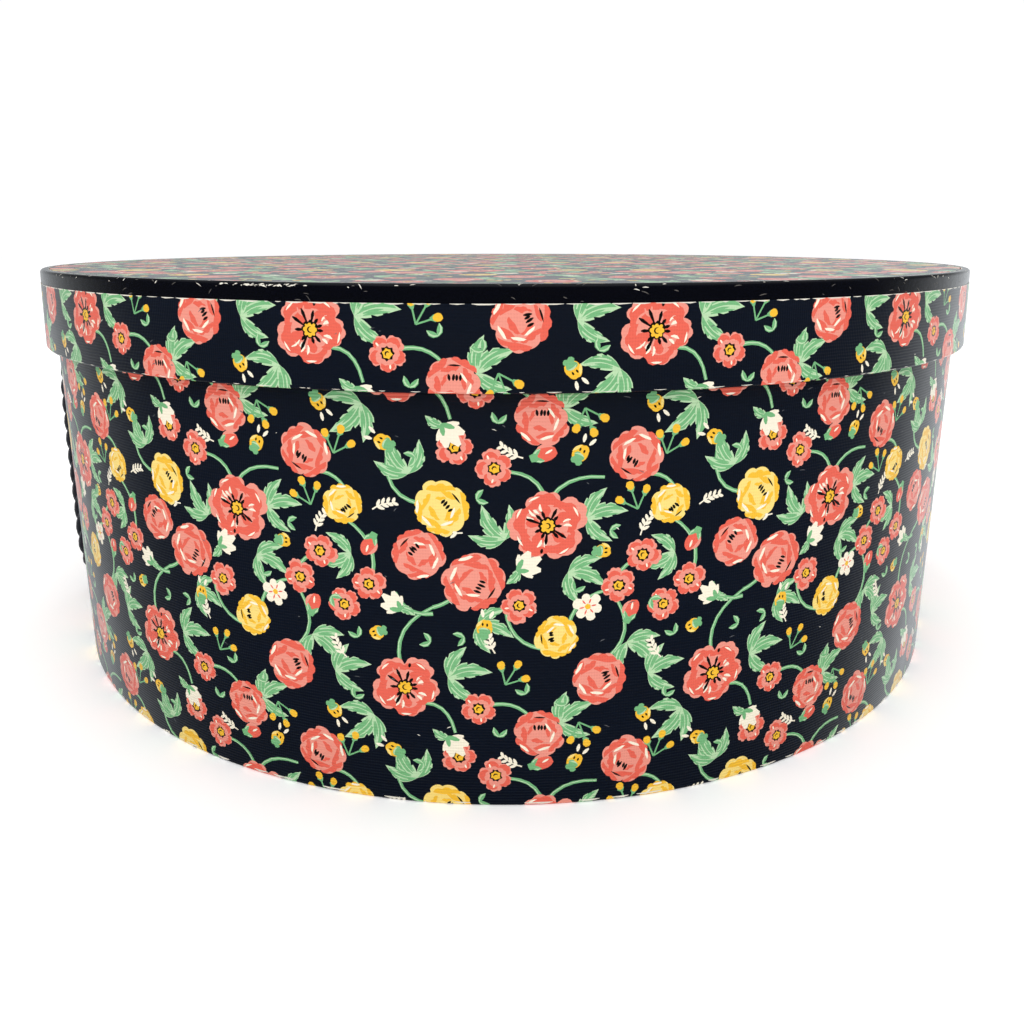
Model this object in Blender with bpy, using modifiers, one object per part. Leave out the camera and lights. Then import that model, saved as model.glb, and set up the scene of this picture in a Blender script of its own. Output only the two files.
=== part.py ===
"""A round paper-covered hat box: chipboard body, lift-off lid with a bound edge, and a carrying cord.

The box stands on z = 0 with its axis on Z, and -Y is its front. Everything turned shares SEGMENTS,
so that the flats of neighbouring hoops lie parallel. Nested skins keep GAP between them.
"""

import math

import bpy
from mathutils import Vector

# Driving sizes, in metres.
LID_RADIUS = 0.2032          # outside of the lid's band: a 16 inch box
HEIGHT = 0.1575              # floor to lid top
LID_BAND_HEIGHT = 0.0294
BODY_RIM_RADIUS = 0.2000     # outside of the body at the height of the lid top
BODY_FOOT_RADIUS = 0.1957    # outside of the body at the floor: the wall leans in slightly
BOARD = 0.0014               # chipboard
PAPER = 0.0004               # covering and lining papers, and the edge tape
GAP = 0.0003
SEGMENTS = 72
MERGE = 0.00001
SHARP_ANGLE = math.radians(30)

TAPE_DROP = 0.0055           # how far the edge tape comes down the side
TAPE_RETURN = 0.0032         # how far it goes in over the top
TAPE_ROUND = 0.0012          # radius of the bound edge
FOLD_ROUND = 0.0006          # radius of a folded paper edge
INNER_FOLD_ROUND = PAPER + 0.0001   # the same on the inner side, where the paper is turned in
LID_TURN_IN = 0.010          # band paper folded up inside the lid
RIM_TURN_IN = 0.010          # body paper folded down inside the rim
FOOT_TURN_UNDER = 0.012      # body paper folded under the base
UNDER_LIFT = 0.0001          # the folded-under edge stays this far off the floor

# The carrying cord and its eyelets, one each side just below the lid.
CORD_RADIUS = 0.0035
EYELET_HEIGHT = 0.1165
EYELET_AZIMUTHS = {"left": -87.0, "right": 93.0}   # degrees from the front, + to the box's +X side
EYELET_BORE = CORD_RADIUS + GAP
EYELET_BARREL = EYELET_BORE + 0.0007
EYELET_FLANGE = 0.0075
EYELET_FLANGE_HEIGHT = 0.0009
EYELET_EDGE = 0.0010         # how far the flange's top is set in from its rim
EYELET_LIP = 0.0005          # chamfer at the bore
OUTER_SEAT = GAP * 1.5       # the flanges stand off the faceted wall
INNER_SEAT = GAP * 2
EYELET_SEGMENTS = 24
CUTTER_DEPTH = 0.02
CUTTER_SEGMENTS = 32
KNOT_RADIUS = 0.0085
KNOT_LENGTH = 0.015
KNOT_SEGMENTS = 16
KNOT_RINGS = 10

# The cord's route from knot to knot: azimuth in degrees, radius and height in millimetres.
CORD_ROUTE = (
    (-87.0, 194.4, 116.5),
    (-87.0, 199.3, 116.5),
    (-87.0, 204.8, 116.1),
    (-87.0, 209.8, 114.1),
    (-87.0, 213.7, 110.2),
    (-86.9, 215.8, 105.1),
    (-86.8, 216.2, 99.0),
    (-86.0, 214.9, 79.0),
    (-84.6, 212.3, 57.0),
    (-82.8, 209.1, 38.0),
    (-81.6, 207.2, 24.0),
    (-81.9, 205.9, 13.4),
    (-83.9, 205.2, 6.4),
    (-87.6, 204.8, 4.0),
    (-92.8, 205.0, 3.6),
    (-102.0, 208.0, 3.6),
    (-114.0, 214.0, 3.7),
    (-128.0, 220.4, 3.7),
    (-142.0, 224.4, 3.7),
    (-156.0, 224.6, 3.7),
    (-170.0, 221.6, 3.7),
    (-184.0, 218.6, 3.7),
    (-198.0, 217.0, 3.7),
    (-212.0, 217.2, 3.7),
    (-226.0, 217.4, 3.7),
    (-239.0, 216.6, 3.7),
    (-248.8, 215.3, 4.9),
    (-256.0, 214.0, 10.8),
    (-261.4, 213.1, 21.0),
    (-265.0, 212.8, 36.5),
    (-266.7, 213.3, 57.0),
    (-267.0, 214.7, 79.0),
    (-267.0, 216.2, 99.0),
    (-267.0, 215.8, 105.1),
    (-267.0, 213.7, 110.2),
    (-267.0, 209.8, 114.1),
    (-267.0, 204.8, 116.1),
    (-267.0, 199.3, 116.5),
    (-267.0, 194.4, 116.5),
)
STEPS_PER_SPAN = 2           # cord sections between two route points

# Worked out from the above.
LEAN = math.atan2(BODY_RIM_RADIUS - BODY_FOOT_RADIUS, HEIGHT)
SKIN = PAPER + GAP           # a paper and the gap behind it
LID_FOOT = HEIGHT - LID_BAND_HEIGHT
LID_INSIDE_RADIUS = LID_RADIUS - SKIN - BOARD - SKIN
CEILING = HEIGHT - SKIN - BOARD - SKIN
RIM = CEILING - GAP
FLOOR_BOARD_FOOT = UNDER_LIFT + SKIN
FLOOR_BOARD_TOP = FLOOR_BOARD_FOOT + BOARD
INSIDE_FLOOR = FLOOR_BOARD_TOP + GAP + PAPER

INKS = {
    "print_navy": ((0.012, 0.017, 0.032), 0.45),
    "tape_black": ((0.006, 0.008, 0.014), 0.25),
    "lining_cream": ((0.72, 0.66, 0.54), 0.75),
    "chipboard_grey": ((0.36, 0.31, 0.24), 0.85),
    "eyelet_black": ((0.015, 0.016, 0.02), 0.35),
    "cord_navy": ((0.014, 0.017, 0.030), 0.6),
}


def material(name):
    """The Principled material for one of INKS, made once."""
    made = bpy.data.materials.get(name)
    if made:
        return made
    colour, roughness = INKS[name]
    made = bpy.data.materials.new(name)
    made.use_nodes = True
    shader = made.node_tree.nodes["Principled BSDF"]
    shader.inputs["Base Color"].default_value = (*colour, 1.0)
    shader.inputs["Roughness"].default_value = roughness
    shader.inputs["Metallic"].default_value = 1.0 if name.startswith("eyelet") else 0.0
    return made


def clear_scene():
    for thing in list(bpy.data.objects):
        bpy.data.objects.remove(thing, do_unlink=True)


def collection(name):
    made = bpy.data.collections.new(name)
    bpy.context.scene.collection.children.link(made)
    return made


def add_object(name, data, into, ink=None):
    made = bpy.data.objects.new(name, data)
    into.objects.link(made)
    if ink:
        data.materials.append(material(ink))
    return made


def body_radius(height):
    """Outside radius of the body at a height above the floor."""
    return BODY_FOOT_RADIUS + (BODY_RIM_RADIUS - BODY_FOOT_RADIUS) * height / HEIGHT


def profile_mesh(name, points, closed):
    """A polyline of (radius, height) points in the XZ plane."""
    edges = [(n, n + 1) for n in range(len(points) - 1)]
    if closed:
        edges.append((len(points) - 1, 0))
    mesh = bpy.data.meshes.new(name)
    mesh.from_pydata([(radius, 0.0, height) for radius, height in points], edges, [])
    return mesh


def weigh_normals(thing):
    """Shade large faces flat and the small ones at folds round."""
    modifier = thing.modifiers.new("Weighted normals", "WEIGHTED_NORMAL")
    modifier.keep_sharp = True


def turn(thing, steps=SEGMENTS):
    screw = thing.modifiers.new("Turn", "SCREW")
    screw.axis = "Z"
    screw.angle = math.tau
    screw.steps = steps
    screw.render_steps = steps
    screw.use_merge_vertices = True
    screw.merge_threshold = MERGE
    screw.use_smooth_shade = True


def turned_shell(name, points, thickness, ink, into):
    """A hoop of sheet: its outer face's profile, turned, with thickness added behind the face."""
    shell = add_object(name, profile_mesh(name, points, closed=False), into, ink)
    turn(shell)
    solidify = shell.modifiers.new("Thickness", "SOLIDIFY")
    solidify.thickness = thickness
    solidify.offset = -1.0
    solidify.use_even_offset = True
    weigh_normals(shell)
    return shell


def turned_solid(name, points, ink, into, steps):
    """A ring from its closed profile, listed down the outer side first."""
    ring = add_object(name, profile_mesh(name, points, closed=True), into, ink)
    turn(ring, steps)
    weigh_normals(ring)
    return ring


def move_new(into):
    """Move the primitive that was just added into a collection."""
    made = bpy.context.object
    for holder in list(made.users_collection):
        holder.objects.unlink(made)
    into.objects.link(made)
    return made


def disc(name, radius, bottom, top, ink, into):
    """A round sheet lying flat between two heights."""
    bpy.ops.mesh.primitive_cylinder_add(
        vertices=SEGMENTS, radius=radius, depth=top - bottom, location=(0.0, 0.0, (top + bottom) / 2))
    made = move_new(into)
    made.name = name
    made.data.name = name
    made.data.materials.append(material(ink))
    made.data.shade_smooth()
    made.data.set_sharp_from_angle(angle=SHARP_ANGLE)
    return made


def corner(centre, radius, start, end, steps=2):
    """Points of an arc in the profile plane, angles in degrees from +X towards +Z."""
    arc = []
    for n in range(steps + 1):
        angle = math.radians(start + (end - start) * n / steps)
        arc.append((centre[0] + radius * math.cos(angle), centre[1] + radius * math.sin(angle)))
    return arc


def make_body_papers(into):
    """The printed cover, folded in over the rim and under the base, and the plain linings."""
    rim_outer = body_radius(RIM) - FOLD_ROUND
    rim_inner = body_radius(RIM) - SKIN - BOARD - SKIN
    foot_outer = BODY_FOOT_RADIUS - FOLD_ROUND
    inner_fold_foot = RIM - RIM_TURN_IN
    lean_in = math.tan(LEAN) * RIM_TURN_IN
    cover = [(rim_inner - lean_in, inner_fold_foot)]
    cover += corner((rim_inner + INNER_FOLD_ROUND, RIM - INNER_FOLD_ROUND), INNER_FOLD_ROUND, 180, 90)
    cover += corner((rim_outer, RIM - FOLD_ROUND), FOLD_ROUND, 90, 0)
    cover += corner((foot_outer, UNDER_LIFT + FOLD_ROUND), FOLD_ROUND, 0, -90)
    cover.append((BODY_FOOT_RADIUS - FOOT_TURN_UNDER, UNDER_LIFT))
    turned_shell("body_cover_paper", cover, PAPER, "print_navy", into)

    top = inner_fold_foot - GAP
    bottom = INSIDE_FLOOR + GAP
    behind = SKIN + BOARD + GAP
    lining = [(body_radius(top) - behind, top), (body_radius(bottom) - behind, bottom)]
    turned_shell("body_lining_paper", lining, PAPER, "lining_cream", into)

    disc("base_cover_paper", BODY_FOOT_RADIUS - FOOT_TURN_UNDER - GAP, 0.0, PAPER, "lining_cream", into)
    inside = BODY_FOOT_RADIUS - SKIN - BOARD - GAP
    disc("base_lining_paper", inside, FLOOR_BOARD_TOP + GAP, INSIDE_FLOOR, "lining_cream", into)


def make_body_boards(into):
    """The chipboard hoop and the round base board set into its foot."""
    top = RIM - SKIN
    hoop = [(body_radius(top) - SKIN, top), (body_radius(FLOOR_BOARD_FOOT) - SKIN, FLOOR_BOARD_FOOT)]
    turned_shell("body_wall_board", hoop, BOARD, "chipboard_grey", into)
    inside = BODY_FOOT_RADIUS - SKIN - BOARD - GAP
    disc("base_board", inside, FLOOR_BOARD_FOOT, FLOOR_BOARD_TOP, "chipboard_grey", into)


def make_lid_boards(into):
    """The lid's band hoop, with its top edge eased under the tape, and the top board inside it."""
    outer = LID_RADIUS - SKIN
    top = HEIGHT - SKIN
    eased = TAPE_ROUND - SKIN
    hoop = corner((outer - eased, top - eased), eased, 90, 0, steps=2)
    hoop.append((outer, LID_FOOT + SKIN))
    hoop.append((outer - BOARD, LID_FOOT + SKIN))
    hoop.append((outer - BOARD, top))
    turned_solid("lid_band_board", hoop, "chipboard_grey", into, SEGMENTS)
    disc("lid_top_board", outer - BOARD - GAP, top - BOARD, top, "chipboard_grey", into)


def make_lid_papers(into):
    """The printed band and top papers, the tape that binds the edge, and the plain linings."""
    tape_foot = HEIGHT - TAPE_DROP
    tape = [(LID_RADIUS - TAPE_RETURN, HEIGHT)]
    tape += corner((LID_RADIUS - TAPE_ROUND, HEIGHT - TAPE_ROUND), TAPE_ROUND, 90, 0, steps=3)
    tape.append((LID_RADIUS, tape_foot))
    turned_shell("lid_edge_tape", tape, PAPER, "tape_black", into)

    turn_in_top = LID_FOOT + LID_TURN_IN
    outside = LID_RADIUS - FOLD_ROUND
    band = [(LID_RADIUS, tape_foot - GAP)]
    band += corner((outside, LID_FOOT + FOLD_ROUND), FOLD_ROUND, 0, -90)
    band += corner((LID_INSIDE_RADIUS + INNER_FOLD_ROUND, LID_FOOT + INNER_FOLD_ROUND), INNER_FOLD_ROUND, -90, -180)
    band.append((LID_INSIDE_RADIUS, turn_in_top))
    turned_shell("lid_band_paper", band, PAPER, "print_navy", into)

    lining_radius = LID_INSIDE_RADIUS + PAPER
    lining = [(lining_radius, HEIGHT - SKIN - BOARD - GAP), (lining_radius, turn_in_top + GAP)]
    turned_shell("lid_band_lining", lining, PAPER, "lining_cream", into)
    disc("lid_top_paper", LID_RADIUS - TAPE_RETURN - GAP, HEIGHT - PAPER, HEIGHT, "print_navy", into)
    disc("lid_top_lining", LID_INSIDE_RADIUS - GAP, CEILING, CEILING + PAPER, "lining_cream", into)


def outward(azimuth):
    """Unit vector away from the axis; the front is -Y and positive azimuths go towards +X."""
    angle = math.radians(azimuth)
    return Vector((math.sin(angle), -math.cos(angle), 0.0))


def place_on_wall(thing, azimuth, radius):
    """Put an object at the eyelet height with its Z axis along the wall's outward normal."""
    direction = outward(azimuth)
    direction.z = -math.tan(LEAN)
    thing.rotation_euler = direction.to_track_quat("Z", "Y").to_euler()
    thing.location = outward(azimuth) * radius + Vector((0.0, 0.0, EYELET_HEIGHT))


def drill(targets, side, azimuth, cutters):
    """Cut the eyelet's hole through the wall's three layers."""
    bpy.ops.mesh.primitive_cylinder_add(
        vertices=CUTTER_SEGMENTS, radius=EYELET_BARREL + GAP, depth=CUTTER_DEPTH)
    cutter = move_new(cutters)
    cutter.name = f"cutter_{side}"
    cutter.hide_render = True
    cutter.display_type = "WIRE"
    place_on_wall(cutter, azimuth, body_radius(EYELET_HEIGHT))
    for target in targets:
        hole = target.modifiers.new(f"Hole {side}", "BOOLEAN")
        hole.operation = "DIFFERENCE"
        hole.solver = "EXACT"
        hole.object = cutter


def make_eyelet(side, azimuth, into):
    """A pressed eyelet: a barrel through the wall with a flange on each face."""
    wall = SKIN + BOARD + SKIN
    outer_top = OUTER_SEAT + EYELET_FLANGE_HEIGHT
    inner_face = -wall - INNER_SEAT
    inner_top = inner_face - EYELET_FLANGE_HEIGHT
    profile = [
        (EYELET_BORE + EYELET_LIP, outer_top),
        (EYELET_FLANGE - EYELET_EDGE, outer_top),
        (EYELET_FLANGE, OUTER_SEAT + EYELET_FLANGE_HEIGHT / 3),
        (EYELET_FLANGE, OUTER_SEAT),
        (EYELET_BARREL, OUTER_SEAT),
        (EYELET_BARREL, inner_face),
        (EYELET_FLANGE, inner_face),
        (EYELET_FLANGE, inner_face - EYELET_FLANGE_HEIGHT / 3),
        (EYELET_FLANGE - EYELET_EDGE, inner_top),
        (EYELET_BORE + EYELET_LIP, inner_top),
        (EYELET_BORE, inner_top + EYELET_LIP),
        (EYELET_BORE, outer_top - EYELET_LIP),
    ]
    eyelet = turned_solid(f"eyelet_{side}", profile, "eyelet_black", into, EYELET_SEGMENTS)
    place_on_wall(eyelet, azimuth, body_radius(EYELET_HEIGHT))


def make_knot(side, azimuth, into):
    """The knot that holds the cord's end inside the wall."""
    bpy.ops.mesh.primitive_uv_sphere_add(
        segments=KNOT_SEGMENTS, ring_count=KNOT_RINGS, radius=KNOT_RADIUS)
    knot = move_new(into)
    knot.name = f"cord_knot_{side}"
    knot.data.name = knot.name
    knot.data.materials.append(material("cord_navy"))
    knot.data.shade_smooth()
    knot.scale = (1.0, 1.0, KNOT_LENGTH / 2 / KNOT_RADIUS)
    cord_end = CORD_ROUTE[0][1] / 1000
    place_on_wall(knot, azimuth, cord_end - GAP - KNOT_LENGTH / 2)
    knot.location.z = CORD_ROUTE[0][2] / 1000


def route_points():
    """The route as world points."""
    points = []
    for azimuth, radius, height in CORD_ROUTE:
        points.append(outward(azimuth) * (radius / 1000) + Vector((0.0, 0.0, height / 1000)))
    return points


def slope(before, point, after):
    """Direction of the curve at a point, from the parabola through it and its neighbours."""
    behind = (point - before).length
    ahead = (after - point).length
    return ((point - before) * (ahead / behind) + (after - point) * (behind / ahead)) / (ahead + behind)


def smooth_curve(points, steps):
    """Points along a smooth curve through the given points."""
    padded = [2 * points[0] - points[1], *points, 2 * points[-1] - points[-2]]
    slopes = [slope(*trio) for trio in zip(padded, padded[1:], padded[2:])]
    curve = []
    for start, end, leave, arrive in zip(points, points[1:], slopes, slopes[1:]):
        span = (end - start).length
        for n in range(steps):
            t = n / steps
            curve.append(start + (end - start) * (3 * t ** 2 - 2 * t ** 3)
                         + leave * (span * t * (1 - t) ** 2) + arrive * (span * t ** 2 * (t - 1)))
    curve.append(points[-1])
    return curve


def make_cord(into):
    """The free length of the cord, out of one eyelet, round behind the box and in at the other."""
    points = smooth_curve(route_points(), STEPS_PER_SPAN)
    data = bpy.data.curves.new("carrying_cord", "CURVE")
    data.dimensions = "3D"
    data.bevel_depth = CORD_RADIUS
    data.bevel_resolution = 2
    data.use_fill_caps = True
    spline = data.splines.new("POLY")
    spline.points.add(len(points) - 1)
    for place, point in zip(spline.points, points):
        place.co = (*point, 1.0)
    spline.use_smooth = True
    add_object("carrying_cord", data, into, "cord_navy")


def main():
    clear_scene()
    parts = collection("hat_box")
    cutters = collection("cutters")
    make_body_boards(parts)
    make_body_papers(parts)
    make_lid_boards(parts)
    make_lid_papers(parts)
    walls = [parts.objects[name] for name in ("body_wall_board", "body_cover_paper", "body_lining_paper")]
    for side, azimuth in EYELET_AZIMUTHS.items():
        drill(walls, side, azimuth, cutters)
        make_eyelet(side, azimuth, parts)
        make_knot(side, azimuth, parts)
    make_cord(parts)


main()
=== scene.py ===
"""Looks of the hat box: printed papers, edge tape, linings, eyelets and the twisted cord.

Every printed paper is a flat sheet first. The floral repeat is drawn on it as ink shapes in
millimetres, triangulated so that each face holds one ink, and then wrapped onto the box.
"""

import functools
import math
import random

import bpy
import numpy as np
from mathutils import Euler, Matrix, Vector
from mathutils.geometry import delaunay_2d_cdt


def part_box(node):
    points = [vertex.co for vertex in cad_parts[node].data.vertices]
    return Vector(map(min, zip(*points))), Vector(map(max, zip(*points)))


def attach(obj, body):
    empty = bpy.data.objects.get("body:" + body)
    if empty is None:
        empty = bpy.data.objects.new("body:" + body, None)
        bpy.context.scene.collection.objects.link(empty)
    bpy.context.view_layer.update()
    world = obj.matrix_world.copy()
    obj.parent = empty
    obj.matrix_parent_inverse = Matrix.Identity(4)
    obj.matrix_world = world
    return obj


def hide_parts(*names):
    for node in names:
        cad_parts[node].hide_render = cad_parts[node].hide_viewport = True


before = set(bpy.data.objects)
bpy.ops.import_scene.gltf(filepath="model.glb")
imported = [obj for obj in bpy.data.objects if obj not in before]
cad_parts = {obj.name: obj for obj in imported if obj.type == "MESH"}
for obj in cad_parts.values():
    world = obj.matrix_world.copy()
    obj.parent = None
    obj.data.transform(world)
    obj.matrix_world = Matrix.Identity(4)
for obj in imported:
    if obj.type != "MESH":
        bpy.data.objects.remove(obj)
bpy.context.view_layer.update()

MM = 0.001

# Sizes read from the frame, in metres.
LID_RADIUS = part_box("lid_edge_tape")[1][0]
LID_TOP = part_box("lid_edge_tape")[1][2]
TAPE_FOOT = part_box("lid_edge_tape")[0][2]
LID_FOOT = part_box("lid_band_paper")[0][2]
LID_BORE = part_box("lid_top_lining")[1][0] + 0.3 * MM
TOP_PAPER_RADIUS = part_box("lid_top_paper")[1][0]
BODY_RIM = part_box("body_cover_paper")[1][2]
BODY_RIM_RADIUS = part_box("body_cover_paper")[1][0]
BASE_PAPER_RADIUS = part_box("base_cover_paper")[1][0]
BODY_FOOT_RADIUS = BASE_PAPER_RADIUS + 12.3 * MM
WALL_LEAN = (BODY_RIM_RADIUS - BODY_FOOT_RADIUS) / BODY_RIM
WALL_THICKNESS = 2.8 * MM

# How the papers fold, in metres: the radii of the folds and how far they are turned in.
OUTER_FOLD = 0.6 * MM
INNER_FOLD = 0.5 * MM
TURNED_IN = 10 * MM

# The floral repeat, in millimetres.
TILE = (95.0, 96.0)
ROSE = ("light_yellow", "yellow", "cream")

# Linear colours of the printing inks and of what shows where they have worn away. The light one of these
# also paints a highlight line along the tape's inner top edge.
INKS = {
    "ground": (0.0010, 0.0044, 0.0140),
    "black": (0.0016, 0.0018, 0.0022),
    "coral": (0.800, 0.115, 0.070),
    "salmon": (0.830, 0.285, 0.215),
    "cream": (0.900, 0.830, 0.660),
    "green": (0.165, 0.455, 0.190),
    "light_green": (0.460, 0.680, 0.400),
    "yellow": (0.900, 0.500, 0.018),
    "light_yellow": (0.930, 0.690, 0.190),
    "worn": (0.780, 0.740, 0.640),
    "scuff": (0.120, 0.125, 0.135),
}
INK_NAMES = list(INKS)
TAPE_COLOURS = {"ground": (0.0008, 0.0011, 0.0034), "scuff": (0.10, 0.09, 0.08), "worn": INKS["worn"]}
PRINT_ROUGHNESS = {"ground": (0.26, 0.46), "black": (0.26, 0.46), "worn": (0.6, 0.85), "scuff": (0.6, 0.85)}
JAPAN_BLACK = (0.012, 0.013, 0.016)


def polar(centre, radius, angle):
    return (centre[0] + radius * math.cos(angle), centre[1] + radius * math.sin(angle))


def scalloped(centre, radius, lobes, depth, turn, rng, squash=1.0, jitter=0.07, steps=5, frill=0.0):
    """A flower outline: rounded lobes of uneven size round a centre, squashed across its turn.

    A frill gives each lobe three small scallops of its own; turn is in radians.
    """
    ends = [n + rng.uniform(-0.18, 0.18) for n in range(lobes)]
    outline = []
    for n in range(lobes):
        start, end = ends[n], ends[(n + 1) % lobes] + (lobes if n == lobes - 1 else 0)
        reach = radius * (1 + rng.uniform(-jitter, jitter))
        for k in range(steps):
            t = k / steps
            swell = math.sin(math.pi * t) ** 0.55
            frilled = 1 + frill * (abs(math.sin(3 * math.pi * t)) - 0.5)
            length = reach * (1 - depth + depth * swell) * frilled
            angle = (start + (end - start) * t) / lobes * math.tau
            along, across = length * math.cos(angle), length * math.sin(angle) * squash
            outline.append((centre[0] + along * math.cos(turn) - across * math.sin(turn),
                            centre[1] + along * math.sin(turn) + across * math.cos(turn)))
    return outline


def crescent(centre, radius, start, sweep, thickness, wave=0.0, waves=3, steps=7, lean=0.5):
    """A petal's shade: an arc that is fat in the middle and pointed at both ends (angles in degrees)."""
    outer, inner = [], []
    for k in range(steps + 1):
        t = k / steps
        angle = math.radians(start + sweep * t)
        body = math.sin(math.pi * t ** (0.6 + 0.8 * lean)) ** 0.8
        ripple = 1 + wave * abs(math.sin(math.pi * waves * t))
        outer.append(polar(centre, radius * ripple, angle))
        inner.append(polar(centre, radius - thickness * body, angle))
    return outer + inner[-2:0:-1]


def stroke(path, start_width, end_width, middle_width=None):
    """A brush stroke along a path, with its width at the start, at the end and perhaps half way."""
    left, right = [], []
    last = len(path) - 1
    for n, (x, y) in enumerate(path):
        ahead, behind = path[min(n + 1, last)], path[max(n - 1, 0)]
        dx, dy = ahead[0] - behind[0], ahead[1] - behind[1]
        size = math.hypot(dx, dy) or 1.0
        t = n / last
        width = start_width + (end_width - start_width) * t
        if middle_width is not None:
            width += (middle_width - (start_width + end_width) / 2) * 4 * t * (1 - t)
        left.append((x - dy / size * width / 2, y + dx / size * width / 2))
        right.append((x + dy / size * width / 2, y - dx / size * width / 2))
    return left + right[::-1]


def bow(start, end, bend, steps):
    """A curved path from start to end, bowed sideways by bend times its length."""
    dx, dy = end[0] - start[0], end[1] - start[1]
    points = []
    for k in range(steps + 1):
        t = k / steps
        side = 4 * bend * t * (1 - t)
        points.append((start[0] + dx * t - dy * side, start[1] + dy * t + dx * side))
    return points


def away(centre, radius, angle):
    """The point at a distance from a centre, at an angle in degrees."""
    return polar(centre, radius, math.radians(angle))


class Artwork:
    """Ink shapes in millimetres on one repeat, later ones over earlier ones; turns are in degrees."""

    def __init__(self, seed):
        self.shapes = []
        self.rng = random.Random(seed)

    def ink(self, name, outline):
        self.shapes.append((name, outline))

    def bloom(self, name, at, size, lobes, depth, turn, **look):
        self.ink(name, scalloped(at, size, lobes, depth, math.radians(turn), self.rng, **look))

    def shade(self, name, centre, radius, start, sweep, thickness, **look):
        self.ink(name, crescent(centre, radius, start, sweep, thickness, **look))

    def brush(self, name, path, start_width, end_width, middle_width=None):
        self.ink(name, stroke(path, start_width, end_width, middle_width))

    def dab(self, name, at, angle, length, width):
        """A short brush dab that starts at a point and is fat in the middle."""
        path = bow(at, away(at, length, angle), 0.0, 3)
        self.brush(name, path, width * 0.35, width * 0.35, width)

    def stem(self, start, end, bend):
        width = 1.25
        self.brush("green", bow(start, end, bend, 7), width, width * 0.75)
        self.brush("light_green", bow(start, end, bend + 0.012, 5), width * 0.28, width * 0.2)

    def leaf(self, base, angle, length, width, flip=1):
        """A pointed leaf with a notch or two: light edges, a darker half and brushed veins."""
        turn = math.radians(angle)

        def place(t, side):
            along = t * length
            across = side * width / 2 + 0.12 * flip * math.sin(math.pi * t) * length
            return (base[0] + along * math.cos(turn) - across * math.sin(turn),
                    base[1] + along * math.sin(turn) + across * math.cos(turn))

        def edge(side, notches):
            points = []
            for n in range(1, 8):
                belly = side * math.sin(math.pi * (n / 8) ** 0.85) ** 0.9
                points.append(place(n / 8, belly))
                if n in notches:
                    points.append(place(n / 8 - 0.01, belly * 0.66))
            return points

        tip = place(1.03, 0.0)
        self.ink("light_green", [place(0, 0)] + edge(1.0, (4, 6)) + [tip] + edge(-1.0, (3, 5))[::-1])
        self.ink("green", [place(0.02, 0)] + edge(0.84 * flip, (4,)) + [place(0.93, 0)]
                 + edge(-0.06 * flip, ())[::-1])
        for reach, bulge in ((0.78, -0.62), (0.6, -0.34)):
            vein = [place(0.2 + reach * n / 4, flip * bulge * math.sin(math.pi * (0.25 + 0.6 * n / 4)))
                    for n in range(4)]
            self.brush("green", vein, 0.25, 0.15, width * 0.17)
        self.brush("light_green", [place(0.25 + n / 7, 0.38 * flip) for n in range(4)], 0.3, 0.15, 0.5)

    def leaves(self, base, angle, size):
        """Three leaves from one point, the middle one longest."""
        spread = 48
        for side in (-1, 0, 1):
            reach = size * (1.0 if side == 0 else 0.86)
            self.leaf(base, angle + spread * side + self.rng.uniform(-6, 6), reach, reach * 0.40,
                      flip=-1 if side < 0 else 1)

    def poppy(self, at, size, turn):
        """A wide open flower: frilled petals, light veins, dark stamens round a yellow heart."""
        rng = self.rng
        self.bloom("salmon", at, size, 5, 0.24, turn, squash=0.90, jitter=0.08, steps=12, frill=0.07)
        for n in range(5):
            mid = turn + 36 + n * 72 + rng.uniform(-9, 9)
            self.shade("coral", away(at, size * 0.44, mid), size * 0.40, mid - 104, 208,
                       size * rng.uniform(0.22, 0.34), wave=0.14, waves=4, steps=12,
                       lean=rng.uniform(0.2, 0.8))
            self.bloom("coral", away(at, size * 0.40, mid), size * 0.20, 3, 0.2, mid,
                       squash=0.8, jitter=0.2, steps=4)
            lit = mid + rng.choice((-20, 20))
            for shift in (-7, 6):
                foot = away(at, size * 0.40, lit + shift)
                tip = away(at, size * rng.uniform(0.56, 0.7), lit + shift * 1.3)
                self.brush("cream" if n != 1 else "salmon", bow(foot, tip, 0.12, 3),
                           0.25, 0.25, rng.uniform(0.6, 1.0))
            edge = mid + rng.uniform(-26, 26)
            self.shade("cream", away(at, size * 0.56, edge), size * 0.28, edge - 34, 68,
                       size * 0.06, steps=4)
        for n in range(11):
            angle = turn + n * 33 + rng.uniform(-12, 12)
            reach = size * rng.choice((0.36, 0.42, 0.5, 0.58))
            stamen = [away(at, part, angle) for part in (size * 0.15, reach * 0.8, reach)]
            self.brush("black", stamen, 0.35, 0.35, 1.0)
        self.dab("black", polar(at, size * 0.62, math.radians(turn) + 1.0), turn + 60, size * 0.13, 0.9)
        self.bloom("black", at, size * 0.24, 8, 0.16, turn, steps=3)
        self.bloom("yellow", at, size * 0.19, 8, 0.24, turn, steps=3)
        self.shade("black", at, size * 0.085, turn + 40, 260, size * 0.045, steps=6)

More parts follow.
